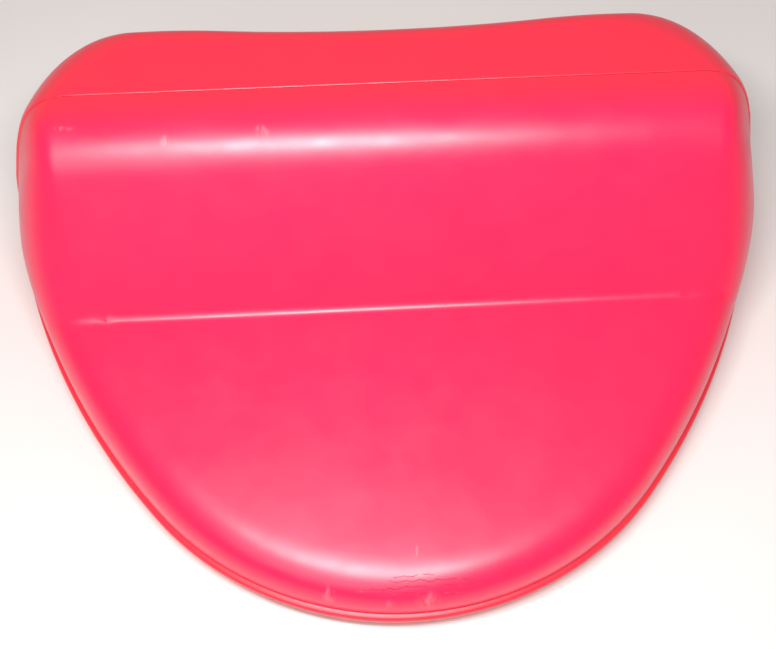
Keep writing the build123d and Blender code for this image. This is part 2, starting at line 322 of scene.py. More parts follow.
def strike_side(step, start):
    """Points and faces of the moulded surface above the start heights, rings then inner rows.

    step is how far the low wall stands in from the rim. start lists (inset, z) rings below.
    """
    inner = mirrored(edge_curve())
    turn = headings()
    turns = turn + turn[-2:0:-1]
    outer = mirrored(outer_curve(step))
    count = len(outer)
    heights = [profile(y) for _, y in inner]
    points = []
    for inset, z in start:
        ring = mirrored(outer_curve(inset))
        points += [(x, row_y(y), z) for x, y in ring]
    first_z = start[-1][1]
    for j in range(1, EDGE_RINGS + 1):
        for i in range(count):
            across, up = edge_section(j / EDGE_RINGS, turns[i], heights[i])
            x = outer[i][0] + (inner[i][0] - outer[i][0]) * across
            y = outer[i][1] + (inner[i][1] - outer[i][1]) * across
            points.append((x, row_y(y), first_z + (profile(y) - first_z) * up))
    rings = len(points) // count
    faces = ring_faces(rings, count)
    base = (rings - 1) * count
    flat = [Vector(p) for p in inner]
    low = min(y for _, y in inner)
    high = max(y for _, y in inner)
    for distance in row_distances(low + 2, high - 1):
        columns = int(EDGE_HALF_WIDTH / X_SPACING)
        for k in range(-columns, columns + 1):
            x = k * X_SPACING
            if inside(inner, x, distance, LOOP_MARGIN):
                flat.append(Vector((x, distance)))
    loop = [(i, (i + 1) % count) for i in range(count)]
    made = delaunay_2d_cdt(flat, loop, [], 1, CDT_TOLERANCE)
    lookup = {}
    for new, sources in enumerate(made[3]):
        ring_sources = [s for s in sources if s < count]
        if ring_sources:
            lookup[new] = base + ring_sources[0]
        else:
            x, y = made[0][new]
            lookup[new] = len(points)
            points.append((x, row_y(y), profile(y)))
    faces += [tuple(lookup[v] for v in face) for face in made[2]]
    return points, faces


def climb_planes():
    """Planes (point, outward normal) that bound the front mould half where it climbs the corners."""
    lean = math.atan2(CLIMB_FOOT - CLIMB_TOP, TOP_Z - SPLIT_Z)
    side = Vector((0, math.cos(lean), math.sin(lean)))
    down = Vector((0, 0, -1))
    foot = Vector((0, row_y(CLIMB_FOOT), SPLIT_Z))
    back = CLIMB_ROUND * (1 + math.sin(lean)) / math.cos(lean)
    centre = foot + Vector((0, -back, CLIMB_ROUND))
    planes = [(foot, side)]
    for share in (0.2, 0.4, 0.6, 0.8):
        normal = (side * (1 - share) + down * share).normalized()
        planes.append((centre + normal * CLIMB_ROUND, normal))
    return planes


def to_bmesh(points, faces):
    work = bmesh.new()
    verts = [work.verts.new(p) for p in points]
    for face in faces:
        work.faces.new([verts[k] for k in face])
    work.normal_update()
    return work


def slice_along(work, point, normal, clear):
    """Cut along a plane. With clear, what lies past it is removed."""
    geometry = work.verts[:] + work.edges[:] + work.faces[:]
    bmesh.ops.bisect_plane(
        work, geom=geometry, dist=0.01, plane_co=point, plane_no=normal, clear_outer=clear
    )


# Lip along the mould line: how far it sinks low down and on the plateau, and its width
LOW_LIP = 0.55
TOP_LIP = 0.1
LIP_WIDTH = 0.8
LIP_FADE = (60, 112)


def turn_in_borders(work, depth):
    """Sink the open borders a little, then carry them inwards, so that each half has a lip."""
    work.normal_update()
    border = [v for v in work.verts if any(e.is_boundary for e in v.link_edges)]
    normals = {v: v.normal.copy() for v in border}
    for v in border:
        v.co -= normals[v] * (LOW_LIP + (TOP_LIP - LOW_LIP) * smooth(v.co.z, *LIP_FADE))
    edges = [e for e in work.edges if e.is_boundary]
    made = bmesh.ops.extrude_edge_only(work, edges=edges)
    fresh = [v for v in made["geom"] if isinstance(v, bmesh.types.BMVert)]
    border_places = {tuple(round(c, 4) for c in v.co): normals[v] for v in border}
    for v in fresh:
        v.co -= border_places[tuple(round(c, 4) for c in v.co)] * depth


# Rings (inset, z) that lead up to the strike side's edge, and round the low rim from the back face
FRONT_START = ((RIM_STEP + 1.4, 17.8), (RIM_STEP + 0.35, 18.15), (RIM_STEP, 19.0))
REAR_START = ((0.15, 16.2), (0.1, 17.2))
RIM_RINGS = (
    (5.8, 0.0),
    (5.2, 0.0),
    (4.6, 0.2),
    (4.0, 1.0),
    (3.2, 4.0),
    (1.8, 9.0),
    (0.7, 13.0),
    (0.15, 15.4),
    (0.4, 16.7),
    (1.2, 17.4),
    (RIM_STEP + 4.5, 17.45),
)


def front_moulding():
    """Front mould half: pad face, bank, ridge and the front of the plateau."""
    work = to_bmesh(*strike_side(RIM_STEP, FRONT_START))
    planes = climb_planes()
    for point, normal in planes:
        slice_along(work, point - normal * LIP_WIDTH, normal, False)
        slice_along(work, point, normal, True)
    turn_in_borders(work, SKIN)
    return work


def rear_upper():
    """The rear mould half above the rim: everything behind the climbing line."""
    work = to_bmesh(*strike_side(0.0, REAR_START))
    planes = climb_planes()
    for point, normal in planes:
        slice_along(work, point, normal, False)
        slice_along(work, point + normal * LIP_WIDTH, normal, False)
    gone = []
    for face in work.faces:
        middle = face.calc_center_median()
        if all((middle - point).dot(normal) < 0 for point, normal in planes):
            gone.append(face)
    bmesh.ops.delete(work, geom=gone, context="FACES")
    turn_in_borders(work, SKIN)
    return work


CORNER_STEPS = 9
LONG_STEPS = 30
SHORT_STEPS = 14


def rounded_loop(half_x, near, far, corner, z):
    """Rounded rectangle as a loop of points, the same number for every size."""
    centres = ((1, far, 0), (-1, far, 90), (-1, near, 180), (1, near, 270))
    arcs = []
    for side, distance, start in centres:
        inward = -1 if distance == far else 1
        cx = side * (half_x - corner)
        cy = distance + inward * corner
        angles = [math.radians(start + 90 * i / CORNER_STEPS) for i in range(CORNER_STEPS + 1)]
        arcs.append([(cx + corner * math.cos(a), cy + corner * math.sin(a)) for a in angles])
    points = []
    for k in range(4):
        points += arcs[k]
        start, end = arcs[k][-1], arcs[(k + 1) % 4][0]
        steps = LONG_STEPS if k % 2 == 0 else SHORT_STEPS
        for i in range(1, steps):
            t = i / steps
            points.append((start[0] + (end[0] - start[0]) * t, start[1] + (end[1] - start[1]) * t))
    return [(x, row_y(y), z) for x, y in points]


STEP_MOUTH = (120.0, 106.0, 234.0, 16.0)
CHANNEL_MOUTH = (112.0, 134.0, 212.0, 10.0)
CHANNEL_ROOF = (104.0, 150.0, 210.0, 10.0)


def grown(shape, grow):
    return (shape[0] + grow, shape[1] - grow, shape[2] + grow, shape[3] + grow)


def recess_loops():
    """Loops from the back face up the step wall, over the ledge and up the channel to its roof."""
    loops = []
    quarter = [math.radians(a) for a in (0, 22, 45, 68, 90)]
    lip, foot, mouth, top = 1.2, 3.0, 2.5, 5.0
    loops.append((grown(STEP_MOUTH, lip + 0.4), 0.0))
    for a in quarter:
        loops.append((grown(STEP_MOUTH, lip * (1 - math.sin(a))), lip * (1 - math.cos(a))))
    for a in quarter:
        inward = foot * (1 - math.cos(a))
        loops.append((grown(STEP_MOUTH, -inward), STEP_Z - foot * (1 - math.sin(a))))
    for a in quarter:
        loops.append((grown(CHANNEL_MOUTH, mouth * (1 - math.sin(a))), STEP_Z + mouth * (1 - math.cos(a))))
    low = STEP_Z + mouth
    high = ROOF_Z - top
    for i in range(1, 12):
        t = i / 11
        z = low + (high - low) * t
        share = (z - STEP_Z) / (ROOF_Z - STEP_Z)
        shape = tuple(a + (b - a) * share for a, b in zip(CHANNEL_MOUTH, CHANNEL_ROOF))
        loops.append((shape, z))
    last = loops[-1][0]
    for a in quarter[1:]:
        inward = top * (1 - math.cos(a))
        loops.append((grown(last, -inward), high + top * math.sin(a)))
    return [rounded_loop(*shape, z) for shape, z in loops]


def back_and_recess():
    """Rim strip, flat back and recess of the rear mould half: points and faces."""
    rings = [mirrored(outer_curve(inset)) for inset, _ in RIM_RINGS]
    count = len(rings[0])
    points = []
    for ring, (_, z) in zip(rings, RIM_RINGS):
        points += [(x, row_y(y), z) for x, y in ring]
    faces = ring_faces(len(rings), count)
    loops = recess_loops()
    size = len(loops[0])
    first = len(points)
    for loop in loops:
        points += loop
    for j in range(len(loops) - 1):
        for i in range(size):
            n = (i + 1) % size
            a = first + j * size
            faces.append((a + i, a + size + i, a + size + n, a + n))
    faces.append(tuple(first + (len(loops) - 1) * size + i for i in reversed(range(size))))
    flat = [Vector(points[i][:2]) for i in range(count)]
    flat += [Vector(p[:2]) for p in loops[0]]
    edges = [(i, (i + 1) % count) for i in range(count)]
    edges += [(count + i, count + (i + 1) % size) for i in range(size)]
    made = delaunay_2d_cdt(flat, edges, [], 1, CDT_TOLERANCE)
    source = [group[0] for group in made[3]]
    for face in made[2]:
        found = [source[v] for v in face]
        if all(v >= count for v in found):
            continue
        faces.append(tuple(v if v < count else first + v - count for v in reversed(found)))
    return points, faces


def skin_object(name, *parts):
    """One mesh object from several bmesh parts, in metres."""
    mesh = bpy.data.meshes.new(name)
    total = bmesh.new()
    for part in parts:
        loose = bpy.data.meshes.new("part")
        part.to_mesh(loose)
        total.from_mesh(loose)
        bpy.data.meshes.remove(loose)
        part.free()
    bmesh.ops.scale(total, vec=(MM, MM, MM), verts=total.verts)
    total.to_mesh(mesh)
    total.free()
    mesh.shade_smooth()
    item = bpy.data.objects.new(name, mesh)
    bpy.context.scene.collection.objects.link(item)
    return item


# ---------------------------------------------------------------- material nodes


class Nodes:
    """Short calls to build one material's node tree."""

    def __init__(self, name, colour, roughness, metallic=0.0):
        self.material = bpy.data.materials.new(name)
        self.material.use_nodes = True
        self.tree = self.material.node_tree
        self.shader = self.tree.nodes["Principled BSDF"]
        self.shader.inputs["Base Color"].default_value = (*colour, 1)
        self.shader.inputs["Roughness"].default_value = roughness
        self.shader.inputs["Metallic"].default_value = metallic
        self.place = self.add("ShaderNodeTexCoord").outputs["Object"]

    def add(self, kind, **settings):
        node = self.tree.nodes.new(kind)
        for key, value in settings.items():
            setattr(node, key, value)
        return node

    def join(self, source, target):
        self.tree.links.new(source, target)

    def put(self, socket, value):
        if isinstance(value, bpy.types.NodeSocket):
            self.join(value, socket)
        else:
            socket.default_value = value

    def math(self, operation, *values, clamp=False):
        node = self.add("ShaderNodeMath", operation=operation, use_clamp=clamp)
        for socket, value in zip(node.inputs, values):
            self.put(socket, value)
        return node.outputs[0]

    def axis(self, letter):
        node = self.add("ShaderNodeSeparateXYZ")
        self.join(self.place, node.inputs[0])
        return node.outputs[letter]

    def noise(self, scale, detail=3.0, stretch=(1, 1, 1)):
        mapping = self.add("ShaderNodeMapping")
        mapping.inputs["Scale"].default_value = stretch
        self.join(self.place, mapping.inputs["Vector"])
        node = self.add("ShaderNodeTexNoise")
        node.inputs["Scale"].default_value = scale
        node.inputs["Detail"].default_value = detail
        self.join(mapping.outputs[0], node.inputs["Vector"])
        return node.outputs["Fac"]

    def ramp(self, value, low, high, start=0.0, end=1.0):
        """Straight change from start to end while value goes from low to high."""
        node = self.add("ShaderNodeMapRange")
        for socket, number in zip(node.inputs[1:5], (low, high, start, end)):
            socket.default_value = number
        self.join(value, node.inputs[0])
        return node.outputs[0]

    def mix(self, share, first, second):
        """Colour between two, each a colour or a socket."""
        node = self.add("ShaderNodeMix", data_type="RGBA")
        self.put(node.inputs[0], share)
        for socket, value in ((node.inputs[6], first), (node.inputs[7], second)):
            self.put(socket, (*value, 1) if isinstance(value, tuple) else value)
        return node.outputs[2]

    def spot(self, place, radii):
        """1 at a place in millimetres, falling to 0 at the given radii."""
        node = self.add("ShaderNodeVectorMath", operation="SUBTRACT")
        self.join(self.place, node.inputs[0])
        node.inputs[1].default_value = (place[0] * MM, row_y(place[1]) * MM, place[2] * MM)
        scale = self.add("ShaderNodeVectorMath", operation="DIVIDE")
        self.join(node.outputs[0], scale.inputs[0])
        scale.inputs[1].default_value = tuple(r * MM for r in radii)
        size = self.add("ShaderNodeVectorMath", operation="LENGTH")
        self.join(scale.outputs[0], size.inputs[0])
        return self.ramp(size.outputs["Value"], 1.0, 0.0)

    def bump(self, height, distance, strength=1.0, under=None):
        node = self.add("ShaderNodeBump")
        node.inputs["Strength"].default_value = strength
        node.inputs["Distance"].default_value = distance
        self.join(height, node.inputs["Height"])
        if under is not None:
            self.join(under, node.inputs["Normal"])
        return node.outputs[0]

    def finish(self, colour=None, roughness=None, normal=None):
        for name, value in (("Base Color", colour), ("Roughness", roughness), ("Normal", normal)):
            if value is not None:
                self.join(value, self.shader.inputs[name])
        return self.material


# RED and RED_WARM carry a pink cast that is painted sheen; REAR_BASE and REAR_WARM are the same red
# without it
RED = (0.90, 0.009, 0.082)
RED_WARM = (0.90, 0.011, 0.070)
REAR_BASE = (0.90, 0.022, 0.055)
REAR_WARM = (0.90, 0.026, 0.045)
RED_DEEP = (0.55, 0.010, 0.034)
SCUFF = (0.95, 0.42, 0.46)
# Colour of the painted shade in the hairline cracks
CRACK_PAINTED_SHADE = (0.30, 0.012, 0.04)

# Distances between which the front moulding's pink cast, which is painted sheen, fades into the rear one's
# plainer red
SHEEN_FADE_FROM = 178
SHEEN_FADE_TO = 192

# Hairline cracks: spacing, width and how far they wander, in metres
CRACK_SPACING = 0.0021
CRACK_WIDTH = 0.00022
CRACK_WANDER = 0.0034

# Wear on the strike side: place (x, distance, z) and radii, in millimetres
CRACKS = ((3.0, 9.5, 29.0), (32.0, 5.0, 12.0))
SCUFFS = (
    ((-33.0, 9.5, 29.0), (3.5, 5.0, 6.0)),
    ((6.0, 5.5, 27.0), (7.0, 4.0, 7.0)),
    ((-9.0, 4.5, 26.0), (2.5, 2.0, 5.0)),
    ((2.0, 22.7, 36.0), (2.0, 4.0, 4.0)),
    ((-52.0, 177.0, 113.0), (4.0, 3.0, 6.0)),
    ((-92.0, 175.0, 112.0), (3.0, 2.5, 6.0)),
    ((-133.0, 181.0, 112.0), (6.0, 1.5, 6.0)),
)


def red_skin(name, base, warm):
    """Satin moulded skin: soft mottling, fine pores, hairline cracks at the tip and pale rubs.

    From the ridge to the plateau the pink cast of painted sheen fades into the rear moulding's colour.
    """
    n = Nodes(name, base, 0.36)
    n.shader.inputs["Specular IOR Level"].default_value = 0.6
    mottle = n.ramp(n.noise(14, 4.0), 0.35, 0.68)
    colour = n.mix(n.math("MULTIPLY", mottle, 0.5), base, warm)
    # Painted sheen: the pink cast gives way to the rear base colour from the ridge back
    behind = n.ramp(n.axis("Y"), row_y(SHEEN_FADE_FROM) * MM, row_y(SHEEN_FADE_TO) * MM)
    colour = n.mix(behind, colour, REAR_BASE)
    pores = n.ramp(n.noise(1500, 2.0), 0.62, 0.75)
    colour = n.mix(n.math("MULTIPLY", pores, 0.12), colour, RED_DEEP)
    near_tip = n.spot(*CRACKS)
    wander = n.math("MULTIPLY", n.noise(300, 4.0, (0.7, 0.5, 0.5)), CRACK_WANDER)
    lines = n.math("ADD", n.axis("Y"), wander)
    lines = n.math("PINGPONG", lines, CRACK_SPACING / 2)
    hairline = n.ramp(lines, CRACK_WIDTH / 2, 0.0)
    broken = n.ramp(n.noise(240, 2.0, (0.45, 1.6, 1)), 0.45, 0.52)
    crack = n.math("MULTIPLY", n.math("MULTIPLY", hairline, broken), n.ramp(near_tip, 0.1, 0.35))
    # Painted shade: the crack lines are darkened in colour for the shade and lost highlight inside them;
    # the bump below gives their relief
    colour = n.mix(n.math("MULTIPLY", crack, 0.8), colour, CRACK_PAINTED_SHADE)
    for place, radii in SCUFFS:
        smear = n.ramp(n.noise(520, 4.0, (1, 0.4, 0.3)), 0.42, 0.64)
        patch = n.math("MULTIPLY", n.ramp(n.spot(place, radii), 0.0, 0.5), smear)
        colour = n.mix(n.math("MULTIPLY", patch, 0.24), colour, SCUFF)
    roughness = n.ramp(n.noise(60, 4.0), 0.3, 0.7, 0.31, 0.38)
    normal = n.bump(n.noise(34, 2.0), 0.0006, 0.35)
    normal = n.bump(n.noise(2600, 1.0), 0.00003, 0.6, normal)
    normal = n.bump(n.math("SUBTRACT", 1.0, crack), 0.0004, 0.8, normal)
    return n.finish(colour, roughness, normal)


def foam(name, colour, cell):
    """Cut or cast foam with visible cells."""
    n = Nodes(name, colour, 0.85)
    cells = n.add("ShaderNodeTexVoronoi")
    cells.inputs["Scale"].default_value = 1 / (cell * MM)
    n.join(n.place, cells.inputs["Vector"])
    # Painted shade: the cell pits are darkened in colour by the same mask that sinks them in the bump
    pits = n.ramp(cells.outputs["Distance"], 0.15, 0.6)
    dark = tuple(c * 0.55 for c in colour)
    shade = n.mix(pits, dark, colour)
    shade = n.mix(n.math("MULTIPLY", n.noise(40), 0.3), shade, tuple(min(1.0, c * 1.35) for c in colour))
    return n.finish(shade, n.ramp(n.noise(90), 0.3, 0.7, 0.78, 0.92), n.bump(pits, cell * MM * 0.5, 0.7))


def plywood():
    """Birch plywood: long grain on the faces and thin dark glue lines round the edges."""
    n = Nodes("plywood_finish", (0.72, 0.54, 0.34), 0.6)
    grain = n.noise(260, 5.0, (0.06, 1, 1))
    colour = n.mix(n.ramp(grain, 0.35, 0.65), (0.60, 0.42, 0.24), (0.80, 0.64, 0.43))
    plies = n.ramp(n.math("PINGPONG", n.axis("Z"), 0.001), 0.00012, 0.0)
    colour = n.mix(n.math("MULTIPLY", plies, 0.6), colour, (0.30, 0.18, 0.09))
    return n.finish(colour, None, n.bump(grain, 0.0003, 0.4))


def plated(name, colour, roughness):
    """Plated steel with faint drawing lines and wear."""
    n = Nodes(name, colour, roughness, 1.0)
    drawn = n.noise(900, 4.0, (0.05, 1, 1))
    dull = n.ramp(n.noise(160, 4.0), 0.4, 0.7)
    shade = n.mix(n.math("MULTIPLY", dull, 0.35), colour, tuple(c * 0.7 for c in colour))
    rough = n.ramp(drawn, 0.3, 0.7, roughness * 0.8, roughness * 1.5)
    return n.finish(shade, rough, n.bump(drawn, 0.00005, 0.5))


# Webbing weave in metres: half a zigzag's width, rib thread and warp thread
HERRINGBONE = 0.0031
RIB_THREAD = 0.0015
WARP_THREAD = 0.00105


def webbing(name):
    """Black webbing in a herringbone weave."""
    n = Nodes(name, (0.022, 0.022, 0.025), 0.7)
    n.shader.inputs["Sheen Weight"].default_value = 0.25
    n.shader.inputs["Sheen Roughness"].default_value = 0.5
    zigzag = n.math("PINGPONG", n.axis("X"), HERRINGBONE)
    along = n.math("ADD", n.math("MULTIPLY", zigzag, 1.1), n.axis("Y"))
    along = n.math("ADD", along, n.axis("Z"))
    rib = n.math("SINE", n.math("MULTIPLY", along, 2 * math.pi / RIB_THREAD))
    warp = n.math("SINE", n.math("MULTIPLY", n.axis("X"), 2 * math.pi / WARP_THREAD))
    height = n.math("ADD", n.math("MULTIPLY", rib, 0.6), n.math("MULTIPLY", warp, 0.4))
    fuzz = n.noise(2200, 2.0)
    height = n.math("ADD", height, fuzz)
    # Painted highlight and shade: raised threads are painted lighter and the grooves between them darker,
    # following the weave's height
    light = n.ramp(height, -0.4, 1.6)
    colour = n.mix(light, (0.010, 0.010, 0.012), (0.060, 0.060, 0.066))
    return n.finish(colour, n.ramp(light, 0, 1, 0.8, 0.6), n.bump(height, 0.00028, 0.9))


def pile(name):
    """Brushed loop pile: matted fibres."""
    n = Nodes(name, (0.03, 0.03, 0.034), 0.9)
    n.shader.inputs["Sheen Weight"].default_value = 0.5
    fibres = n.noise(1300, 6.0, (1, 0.5, 1))
    colour = n.mix(fibres, (0.012, 0.012, 0.014), (0.075, 0.075, 0.085))
    return n.finish(colour, None, n.bump(fibres, 0.0008, 1.0))


def plain_plastic(name, colour, roughness):
    """Moulded plastic or rubber with a faint texture."""
    n = Nodes(name, colour, roughness)
    grain = n.noise(1400, 3.0)
    dusty = n.ramp(n.noise(70, 4.0), 0.45, 0.75)
    shade = n.mix(n.math("MULTIPLY", dusty, 0.3), colour, tuple(c * 2.2 + 0.01 for c in colour))
    rough = n.ramp(grain, 0.3, 0.7, roughness - 0.08, roughness + 0.08)
    return n.finish(shade, rough, n.bump(grain, 0.00008, 0.7))


def wear(item, material, body="root"):
    """Give a piece its material and its body."""
    item.data.materials.clear()
    item.data.materials.append(material)
    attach(item, body)
    return item


def dress(node, material):
    """Material on a CAD node that stays."""
    item = frame["nodes"][node]
    item.data.materials.clear()
    item.data.materials.append(material)
    return item


def bevel(item, width):
    """Join the CAD mesh's corners and break its sharp edges."""
    item.modifiers.new("join", "WELD").merge_threshold = 1e-6
    modifier = item.modifiers.new("edges", "BEVEL")
    modifier.width = width * MM
    modifier.segments = 2
    modifier.limit_method = "ANGLE"
    modifier.angle_limit = math.radians(40)
    return item


# The front finish's pinker base is painted sheen; the rear finish has the plain red
SKIN_RED = red_skin("front_red_finish", RED, RED_WARM)
REAR_RED = red_skin("rear_red_finish", REAR_BASE, REAR_WARM)
front = skin_object("front_moulding", front_moulding())
rear = skin_object("rear_moulding", rear_upper(), to_bmesh(*back_and_recess()))
wear(front, SKIN_RED)
wear(rear, REAR_RED)
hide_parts("front_skin")
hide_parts("rear_skin")


# ---------------------------------------------------------------- straps, grip and pads

WEBBING_BLACK = webbing("webbing_finish")
ZINC = plated("zinc_finish", (0.62, 0.63, 0.65), 0.34)
NICKEL = plated("nickel_finish", (0.74, 0.75, 0.77), 0.2)
BIRCH = plywood()
FIRM_FOAM = foam("firm_foam_finish", (0.12, 0.12, 0.13), 0.8)
SOFT_FOAM = foam("soft_foam_finish", (0.82, 0.76, 0.58), 1.6)
PAD_FOAM = foam("pad_foam_finish", (0.045, 0.045, 0.05), 0.45)
LOOP_PILE = pile("loop_pile_finish")
HOOK_PLASTIC = plain_plastic("hook_finish", (0.035, 0.035, 0.04), 0.45)
GRIP_RUBBER = plain_plastic("grip_finish", (0.028, 0.028, 0.03), 0.55)
THREAD = plain_plastic("thread_finish", (0.09, 0.09, 0.095), 0.6)

for node, finish, edge in (
    ("impact_foam", FIRM_FOAM, 0),
    ("core_foam", SOFT_FOAM, 0),
    ("anchor_rail_near", BIRCH, 0.5),
    ("anchor_rail_far", BIRCH, 0.5),
    ("strap_tee_nuts", ZINC, 0.2),
    ("grip_tee_nuts", ZINC, 0.2),
    ("strap_loop_screws", ZINC, 0.35),
    ("grip_loop_screws", ZINC, 0.35),
    ("strap_loop_near", NICKEL, 0.45),
    ("strap_loop_far", NICKEL, 0.45),
    ("grip_loop_near", NICKEL, 0.45),
    ("grip_loop_far", NICKEL, 0.45),
):
    kept = dress(node, finish)
    if edge:
        bevel(kept, edge)


def span(node):
    """Lowest and highest corner of a CAD node, in millimetres."""
    low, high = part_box(node)
    return low / MM, high / MM


strap_low, strap_high = span("strap_web")
tail_low, tail_high = span("strap_tail")
loop_low, loop_high = span("loop_tape")
hook_low, hook_high = span("hook_tape")
grip_low, grip_high = span("grip_web")
sleeve_low, sleeve_high = span("grip_sleeve")
bar_low, bar_high = span("strap_loop_near")

WEB_THICK = tail_high.z - tail_low.z
RUN_Z = strap_high.z - WEB_THICK / 2
TAIL_Z = (tail_low.z + tail_high.z) / 2
FOLD_Z = (RUN_Z + TAIL_Z) / 2
FOLD_RADIUS = (RUN_Z - TAIL_Z) / 2
NEAR_FOLD = tail_low.y
FAR_FOLD = strap_high.y - FOLD_RADIUS - WEB_THICK / 2
STRAP_X = (strap_low.x + strap_high.x) / 2
STRAP_HALF = (strap_high.x - strap_low.x) / 2
GRIP_X = (grip_low.x + grip_high.x) / 2
GRIP_HALF = (grip_high.x - grip_low.x) / 2
GRIP_Z = (sleeve_low.z + sleeve_high.z) / 2
SLEEVE_RADIUS = (sleeve_high.z - sleeve_low.z) / 2


def fold(y, side, start, end, steps=14):
    """Arc of (y, z) points round a bar's edge. 0 degrees is on the run and 180 on the tail."""
    angles = [math.radians(start + (end - start) * i / steps) for i in range(steps + 1)]
    return [(y + side * FOLD_RADIUS * math.sin(a), FOLD_Z + FOLD_RADIUS * math.cos(a)) for a in angles]


def line(start, end, spacing=2.0):
    """Straight run of (y, z) points, without its last one."""
    length = math.dist(start, end)
    steps = max(1, round(length / spacing))
    return [tuple(a + (b - a) * i / steps for a, b in zip(start, end)) for i in range(steps)]


BAND_COLUMNS = 18
TAPERED_END = 0.45


def band(name, x, half_width, path, taper_end=False):
    """Webbing along a path of (y, z) points: rounded selvedges and closed ends."""
    half = WEB_THICK / 2
    edge = []
    for k in range(BAND_COLUMNS + 1):
        share = -1 + 2 * k / BAND_COLUMNS
        edge.append((share * (half_width - half), half))
    turns = (0.6, 1.2, 1.57, 1.94, 2.54)
    curl = [(half_width - half + half * math.sin(a), half * math.cos(a)) for a in turns]
    section = edge + curl + [(u, -w) for u, w in reversed(edge)] + [(-u, -w) for u, w in curl]
    points = []
    for i, (y, z) in enumerate(path):
        before = path[max(0, i - 1)]
        after = path[min(len(path) - 1, i + 1)]
        dy, dz = after[0] - before[0], after[1] - before[1]
        length = math.hypot(dy, dz)
        ny, nz = -dz / length, dy / length
        last = taper_end and i == len(path) - 1
        thin = TAPERED_END if last else 1.0
        for u, w in section:
            points.append((x + u, y + ny * w * thin, z + nz * w * thin))
    return outward(new_mesh(name, points, closed_faces(len(path), len(section))))


def outward(item):
    """Make every face look out of its closed mesh."""
    work = bmesh.new()
    work.from_mesh(item.data)
    bmesh.ops.recalc_face_normals(work, faces=work.faces)
    work.to_mesh(item.data)
    work.free()
    return item


def stitches(name, runs, z, length=2.3, gap=0.7, radius=0.32):
    """Rows of thread stitches on a flat face, each a small capsule."""
    points, faces = [], []
    rings, sides = 5, 6
    for start, end in runs:
        total = math.dist(start, end)
        count = max(1, int(total / (length + gap)))
        ux, uy = (end[0] - start[0]) / total, (end[1] - start[1]) / total
        for k in range(count):
            along = (k + 0.5) * total / count
            cx, cy = start[0] + ux * along, start[1] + uy * along
            first = len(points)
            for i in range(rings + 1):
                a = math.pi * i / rings
                out = -math.cos(a) * length / 2
                wide = radius * max(0.12, math.sin(a)) ** 0.6
                for j in range(sides):
                    b = 2 * math.pi * j / sides
                    side = wide * math.cos(b)
                    up = wide * math.sin(b)
                    points.append((cx + ux * out - uy * side, cy + uy * out + ux * side, z + up))
            for i in range(rings):
                for j in range(sides):
                    n = (j + 1) % sides
                    a, b = first + i * sides, first + (i + 1) * sides
                    faces.append((a + j, a + n, b + n, b + j))
            faces.append(tuple(first + j for j in reversed(range(sides))))
            faces.append(tuple(first + rings * sides + j for j in range(sides)))
    return new_mesh(name, points, faces)


def box_and_cross(x, half, near, far):
    """Runs of a box stitch with its two diagonals."""
    a, b, c, d = (x - half, near), (x + half, near), (x + half, far), (x - half, far)
    return [(a, b), (b, c), (c, d), (d, a), (a, c), (b, d)]


def slab(name, box, corner, levels):
    """Rounded slab between two x and two y: levels are (inset, z) loops from one face to the other."""
    x_low, x_high, y_low, y_high = box
    half = (x_high - x_low) / 2
    middle = (x_low + x_high) / 2
    near, far = y_low + HALF_DEPTH, y_high + HALF_DEPTH
    points = []
    for inset, z in levels:
        radius = max(0.5, corner - inset * 0.5)
        loop = rounded_loop(half - inset, near + inset, far - inset, radius, z)
        points += [(x + middle, y, z) for x, y, z in loop]
    return outward(new_mesh(name, points, closed_faces(len(levels), len(loop))))


PAD_CORNER = 6


def pad(node):
    """Closed-cell pad on the channel roof with a soft crown and rounded rim."""
    low, high = span(node)
    levels = [(0, high.z), (0, low.z + 2.6)]
    levels += [(0.5, low.z + 1.7), (1.4, low.z + 1.0), (3.0, low.z + 0.6), (7.0, low.z + 0.3)]
    levels += [(13.0, low.z + 0.1), (19.0, low.z)]
    item = slab(node + "_crowned", (low.x, high.x, low.y, high.y), PAD_CORNER, levels)
    wear(item, PAD_FOAM)
    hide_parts(node)


pad("forearm_pad")
pad("knuckle_pad")


# Webbing sewn back under itself at the far bar and at the grip's bars, and where its stitches lie
STRAP_UNDER = 20.0
GRIP_UNDER = 10.0
STITCH_INSET = 4.0
STITCH_FROM_FOLD = 6
STITCH_FROM_END = 3
TACK_INSET = 2


